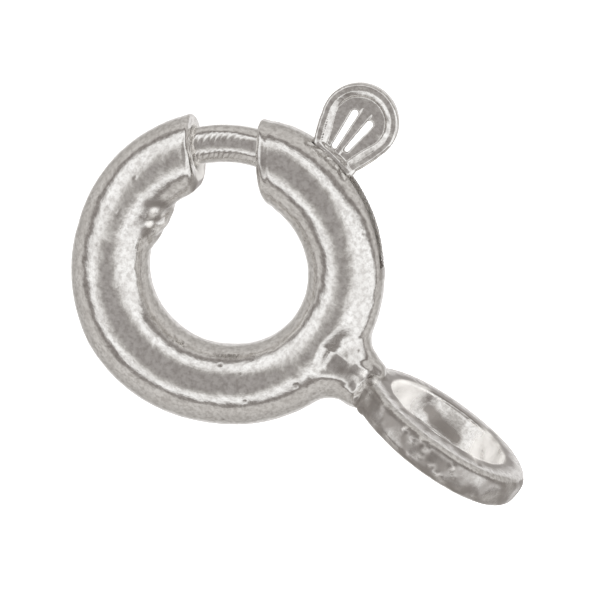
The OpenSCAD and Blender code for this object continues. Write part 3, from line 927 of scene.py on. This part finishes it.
class CLASP_OT_spring(Operator):
    """Wind the return spring inside the tube, from the spring stop to the bolt's tail"""
    bl_idname = "clasp.spring"
    bl_label = "Return spring"

    def execute(self, context):
        name = "return_spring_wire"
        drop_old(name)
        ring, _ = all_sizes()
        spring = context.scene.clasp_spring
        tree = coil_tree()
        holder = bpy.data.objects.new("coil", bpy.data.meshes.new("coil"))
        context.scene.collection.objects.link(holder)
        modifier = holder.modifiers.new("coil", "NODES")
        modifier.node_group = tree
        sockets = {item.name: item.identifier for item in tree.interface.items_tree if item.in_out == "INPUT"}
        wire_r = spring.wire_d / 2
        inputs = {
            "Ring Radius": ring.ring_r * MM,
            "Coil Radius": ring.bore_r * MM - spring.coil_gap - wire_r,
            "Wire Radius": wire_r,
            "Start": spring.low_az,
            "End": spring.high_az,
            "Turns": spring.turns,
            "Points": spring.turns * spring.turn_steps + 1,
            "Sides": spring.wire_sides,
            "Material": drawn_steel(context.scene.clasp_finish),
        }
        for key, value in inputs.items():
            modifier[sockets[key]] = value
        holder.update_tag()
        context.view_layer.update()
        mesh = bpy.data.meshes.new_from_object(holder.evaluated_get(context.evaluated_depsgraph_get()))
        holder.modifiers.clear()
        bpy.data.objects.remove(holder, do_unlink=True)
        place = Matrix.Translation(RING_CENTRE) @ Matrix.Rotation(-TIP_ANGLE, 4, "Y")
        mesh.transform(place)
        piece = bpy.data.objects.new(name, mesh)
        context.scene.collection.objects.link(piece)
        way = place.to_3x3() @ Vector((cos(spring.high_az), sin(spring.high_az), 0))
        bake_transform(piece)
        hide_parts("return_spring")
        return {"FINISHED"}


def coil_tree():
    """Geometry Nodes: a round wire wound on a circle's own arc, between two directions."""
    tree = bpy.data.node_groups.new("coil_on_an_arc", "GeometryNodeTree")
    face = tree.interface
    for label, kind in (("Ring Radius", "Float"), ("Coil Radius", "Float"), ("Wire Radius", "Float"),
            ("Start", "Float"), ("End", "Float"), ("Turns", "Int"), ("Points", "Int"),
            ("Sides", "Int"), ("Material", "Material")):
        face.new_socket(label, in_out="INPUT", socket_type="NodeSocket" + kind)
    face.new_socket("Geometry", in_out="OUTPUT", socket_type="NodeSocketGeometry")
    add = node_maker(tree)
    given = add("NodeGroupInput").outputs
    line = add("GeometryNodeCurvePrimitiveLine", values={"End": (1.0, 0.0, 0.0)})
    wire = add("GeometryNodeResampleCurve", {"Curve": line, "Count": given["Points"]})
    part = add("GeometryNodeSplineParameter").outputs["Factor"]
    az = add("MapRange", {"Value": part, "To Min": given["Start"], "To Max": given["End"]})
    full = add("Math", {0: given["Turns"]}, {1: 2 * pi}, operation="MULTIPLY")
    turn = add("Math", {0: part, 1: full}, operation="MULTIPLY")

    def sized(function, angle_source, size):
        wave = add("Math", {0: angle_source}, operation=function)
        return add("Math", {0: wave, 1: size}, operation="MULTIPLY")

    out = sized("COSINE", turn, given["Coil Radius"])
    height = sized("SINE", turn, given["Coil Radius"])
    reach = add("Math", {0: out, 1: given["Ring Radius"]}, operation="ADD")
    spot = add("CombineXYZ", {"X": sized("COSINE", az, reach), "Y": sized("SINE", az, reach), "Z": height})
    wound = add("GeometryNodeSetPosition", {"Geometry": wire, "Position": spot})
    girth = add("GeometryNodeCurvePrimitiveCircle", {"Resolution": given["Sides"],
            "Radius": given["Wire Radius"]})
    solid = add("GeometryNodeCurveToMesh", {"Curve": wound, "Profile Curve": girth}, {"Fill Caps": True})
    round_off = add("GeometryNodeSetShadeSmooth", {"Geometry": solid})
    real = add("GeometryNodeRealizeInstances", {"Geometry": round_off})
    dressed = add("GeometryNodeSetMaterial", {"Geometry": real, "Material": given["Material"]})
    add("NodeGroupOutput", {"Geometry": dressed})
    return tree


# Tones of the light tent, by the angle in degrees from its middle.
TENT = ((0, "#A29E9C"), (22, "#A29E9C"), (27, "#B0ADAA"), (33, "#D4D2D0"), (39, "#EFEEED"), (47, "#FFFFFF"),
        (54, "#E9E8E7"), (59, "#8F8A87"), (67, "#8F8A87"), (72, "#C8C5C2"), (84, "#CBC8C5"), (100, "#C2BFBC"),
        (116, "#B8B5B2"), (134, "#B8B5B2"), (148, "#DEDCDB"), (165, "#E7E5E4"))


class CLASP_OT_stage(Operator):
    """Set the pale floor, the light tent and the camera"""
    bl_idname = "clasp.stage"
    bl_label = "Floor, light and camera"

    def execute(self, context):
        stage = context.scene.clasp_stage
        scene = context.scene
        sight, right, up = camera_axes(stage)
        wide = 0.4
        corners = np.array([(-wide, -wide, 0), (wide, -wide, 0), (wide, wide, 0), (-wide, wide, 0)])
        floor = mesh_piece("floor", corners, np.array([(0, 1, 2, 3)]))
        floor.data.materials.append(white_acrylic(stage))
        floor.visible_glossy = False
        self.tent(scene, stage, sight, right, up)
        self.lamps(scene)
        pixel = stage.frame_w / PICTURE_PX
        across, down = (PICTURE_PX / 2 - place for place in RING_PX)
        target = RING_CENTRE + right * pixel * across - up * pixel * down
        camera = bpy.data.objects.new("camera", bpy.data.cameras.new("camera"))
        camera.data.lens = stage.lens
        camera.data.clip_start, camera.data.clip_end = 0.001, 10.0
        distance = stage.frame_w * stage.lens / camera.data.sensor_width
        camera.matrix_world = Matrix.Translation(target + sight * distance) @ Matrix(
            (right, up, sight)).transposed().to_4x4()
        scene.collection.objects.link(camera)
        scene.camera = camera
        scene.view_settings.view_transform = "Standard"
        return {"FINISHED"}

    def tent(self, scene, stage, sight, right, up):
        """A soft tent: a grey middle above the clasp, a bright band around it, grey walls."""
        world = bpy.data.worlds.new("light_tent")
        world.use_nodes = True
        add = node_maker(world.node_tree)
        way = add("TexCoord").outputs["Generated"]
        sway = add("TexNoise", {"Vector": way}, {"Scale": 1.3, "Detail": 1.0})
        middle = sight - right * sin(radians(8.6)) + up * sin(radians(2.2))
        lean = add("VectorMath", {0: way}, {1: middle.normalized()}, operation="DOT_PRODUCT")
        wide = add("VectorMath", {0: way}, {1: right}, operation="DOT_PRODUCT")
        polar = add("Math", {0: lean}, operation="ARCCOSINE")
        square = add("Math", {0: wide, 1: wide}, operation="MULTIPLY")
        fourth = add("Math", {0: square, 1: square}, operation="MULTIPLY")
        opened = add("Math", {0: fourth, 2: polar}, {1: radians(-8)}, operation="MULTIPLY_ADD")
        corner = right * cos(radians(35)) - up * sin(radians(35))
        for side, power, reach in ((right, 4.0, 20), (corner, 5.0, 42), (up - right, 5.0, 18)):
            near = add("VectorMath", {0: way}, {1: side.normalized()}, operation="DOT_PRODUCT")
            ahead = add("Math", {0: near}, {1: 0.0}, operation="MAXIMUM")
            lobe = add("Math", {0: ahead}, {1: power}, operation="POWER")
            spread = add("Math", {0: lobe, 2: opened}, {1: radians(-reach)}, operation="MULTIPLY_ADD")
            least = add("Math", {0: opened}, {1: radians(46)}, operation="MINIMUM")
            opened = add("Math", {0: spread, 1: least}, operation="MAXIMUM")
        moved = add("Math", {0: sway, 2: opened}, {1: 0.24}, operation="MULTIPLY_ADD")
        turn = add("Math", {0: moved}, {1: 0.12}, operation="SUBTRACT")
        part = add("Math", {0: turn}, {1: 1 / pi}, operation="MULTIPLY")
        band = add("ValToRGB", {"Fac": part}, stops=[(deg / 180, linear(tone)) for deg, tone in TENT])
        glow = add("Background", {"Color": band}, {"Strength": stage.strength})
        plain = add("Background", values={"Color": linear("#FDFDFC"), "Strength": 1.0})
        seen = add("LightPath").outputs["Is Camera Ray"]
        mix = add("MixShader", {0: seen, 1: glow, 2: plain})
        add("OutputWorld", {"Surface": mix})
        scene.world = world

    def lamps(self, scene):
        """Two large soft lamps that light the floor evenly."""
        for name, place, size, power in (("soft_left", (-0.12, -0.1, 0.22), 0.2, 0.35),
                ("soft_right", (0.14, 0.1, 0.2), 0.2, 0.3)):
            data = bpy.data.lights.new(name, "AREA")
            data.shape, data.size, data.energy = "DISK", size, power
            lamp = bpy.data.objects.new(name, data)
            lamp.location = place
            lamp.rotation_euler = (-Vector(place)).to_track_quat("-Z", "Y").to_euler()
            lamp.visible_glossy = False
            scene.collection.objects.link(lamp)


def camera_axes(stage):
    """Directions towards the camera, to the picture's right and up, in the room."""
    lean, lean_az = stage.lean, stage.lean_az
    sight = Vector((sin(lean) * cos(lean_az), sin(lean) * sin(lean_az), cos(lean)))
    down_lean = Vector((cos(lean_az) * cos(lean), sin(lean_az) * cos(lean), -sin(lean)))
    across = Vector((-sin(lean_az), cos(lean_az), 0))
    turn = stage.picture_turn - math.atan2(-sin(lean_az), cos(lean_az) * cos(lean))
    right = down_lean * cos(turn) - across * sin(turn)
    up = down_lean * sin(turn) + across * cos(turn)
    tip = Matrix.Rotation(-TIP_ANGLE, 3, "Y")
    return tip @ sight, tip @ right, tip @ up


class CLASP_PT_sidebar(Panel):
    bl_label = "Spring ring clasp"
    bl_idname = "CLASP_PT_sidebar"
    bl_space_type = "VIEW_3D"
    bl_region_type = "UI"
    bl_category = "Clasp"

    def draw(self, context):
        groups = {"clasp.ring": "clasp_ring", "clasp.bolt": "clasp_bolt", "clasp.spring": "clasp_spring",
                "clasp.stage": "clasp_stage"}
        for operator, group in groups.items():
            box = self.layout.box()
            box.operator(operator)
            for key in getattr(context.scene, group).__annotations__:
                box.prop(getattr(context.scene, group), key)
        box = self.layout.box()
        for key in context.scene.clasp_finish.__annotations__:
            box.prop(context.scene.clasp_finish, key)


GROUPS = {"clasp_ring": ClaspRingSizes, "clasp_bolt": ClaspBoltSizes, "clasp_spring": ClaspSpringSizes,
        "clasp_finish": ClaspFinish, "clasp_stage": ClaspStage}
OPERATORS = (CLASP_OT_ring, CLASP_OT_bolt, CLASP_OT_spring, CLASP_OT_stage)


def register():
    for cls in (*GROUPS.values(), *OPERATORS, CLASP_PT_sidebar):
        bpy.utils.register_class(cls)
    for name, group in GROUPS.items():
        setattr(bpy.types.Scene, name, PointerProperty(type=group))


def unregister():
    for name in GROUPS:
        delattr(bpy.types.Scene, name)
    for cls in reversed((*GROUPS.values(), *OPERATORS, CLASP_PT_sidebar)):
        bpy.utils.unregister_class(cls)


def main():
    register()
    for build in (bpy.ops.clasp.ring, bpy.ops.clasp.bolt, bpy.ops.clasp.spring, bpy.ops.clasp.stage):
        build()


if __name__ == "__main__":
    main()
